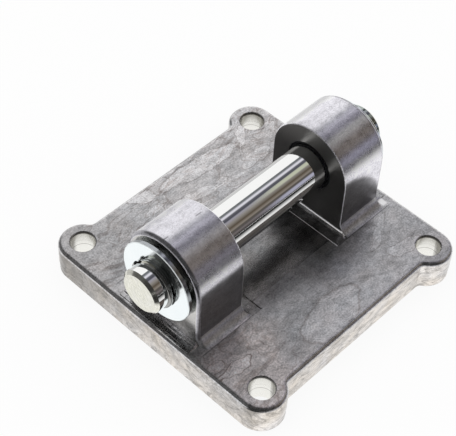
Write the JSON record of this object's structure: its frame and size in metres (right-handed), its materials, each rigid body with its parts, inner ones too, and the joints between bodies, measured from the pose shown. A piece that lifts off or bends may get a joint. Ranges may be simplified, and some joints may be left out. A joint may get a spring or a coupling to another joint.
{
  "type": "cylinder rear clevis mount",
  "caption": "Square flange plate with two upright ears that hold a loose pin in bushes, for pivoting the rear of a pneumatic cylinder.",
  "frame": {"origin": "centre of the mounting face on the underside of the flange plate", "axes": "+X along the pin, +Z from the mounting face up through the ears"},
  "size_m": [0.1328, 0.124, 0.061],
  "materials": {
    "cast_aluminium": "die cast with milled ear faces",
    "ground_steel": "ground bright",
    "bush_liner": "matte dark",
    "zinc_plated_steel": "blue-white zinc plate",
    "spring_steel": "drawn wire"
  },
  "bodies": {
    "mount": {"bracket": "cast_aluminium", "near_bush": "bush_liner", "far_bush": "bush_liner", "near_washer": "zinc_plated_steel", "far_washer": "zinc_plated_steel"},
    "pin": {"clevis_pin": "ground_steel", "near_snap_ring": "spring_steel", "far_snap_ring": "spring_steel"}
  },
  "joints": [
    {"name": "pin_turn", "type": "hinge", "parent": "mount", "child": "pin", "pos_m": [0, 0, 0.041], "axis": [1, 0, 0], "continuous": true}
  ]
}
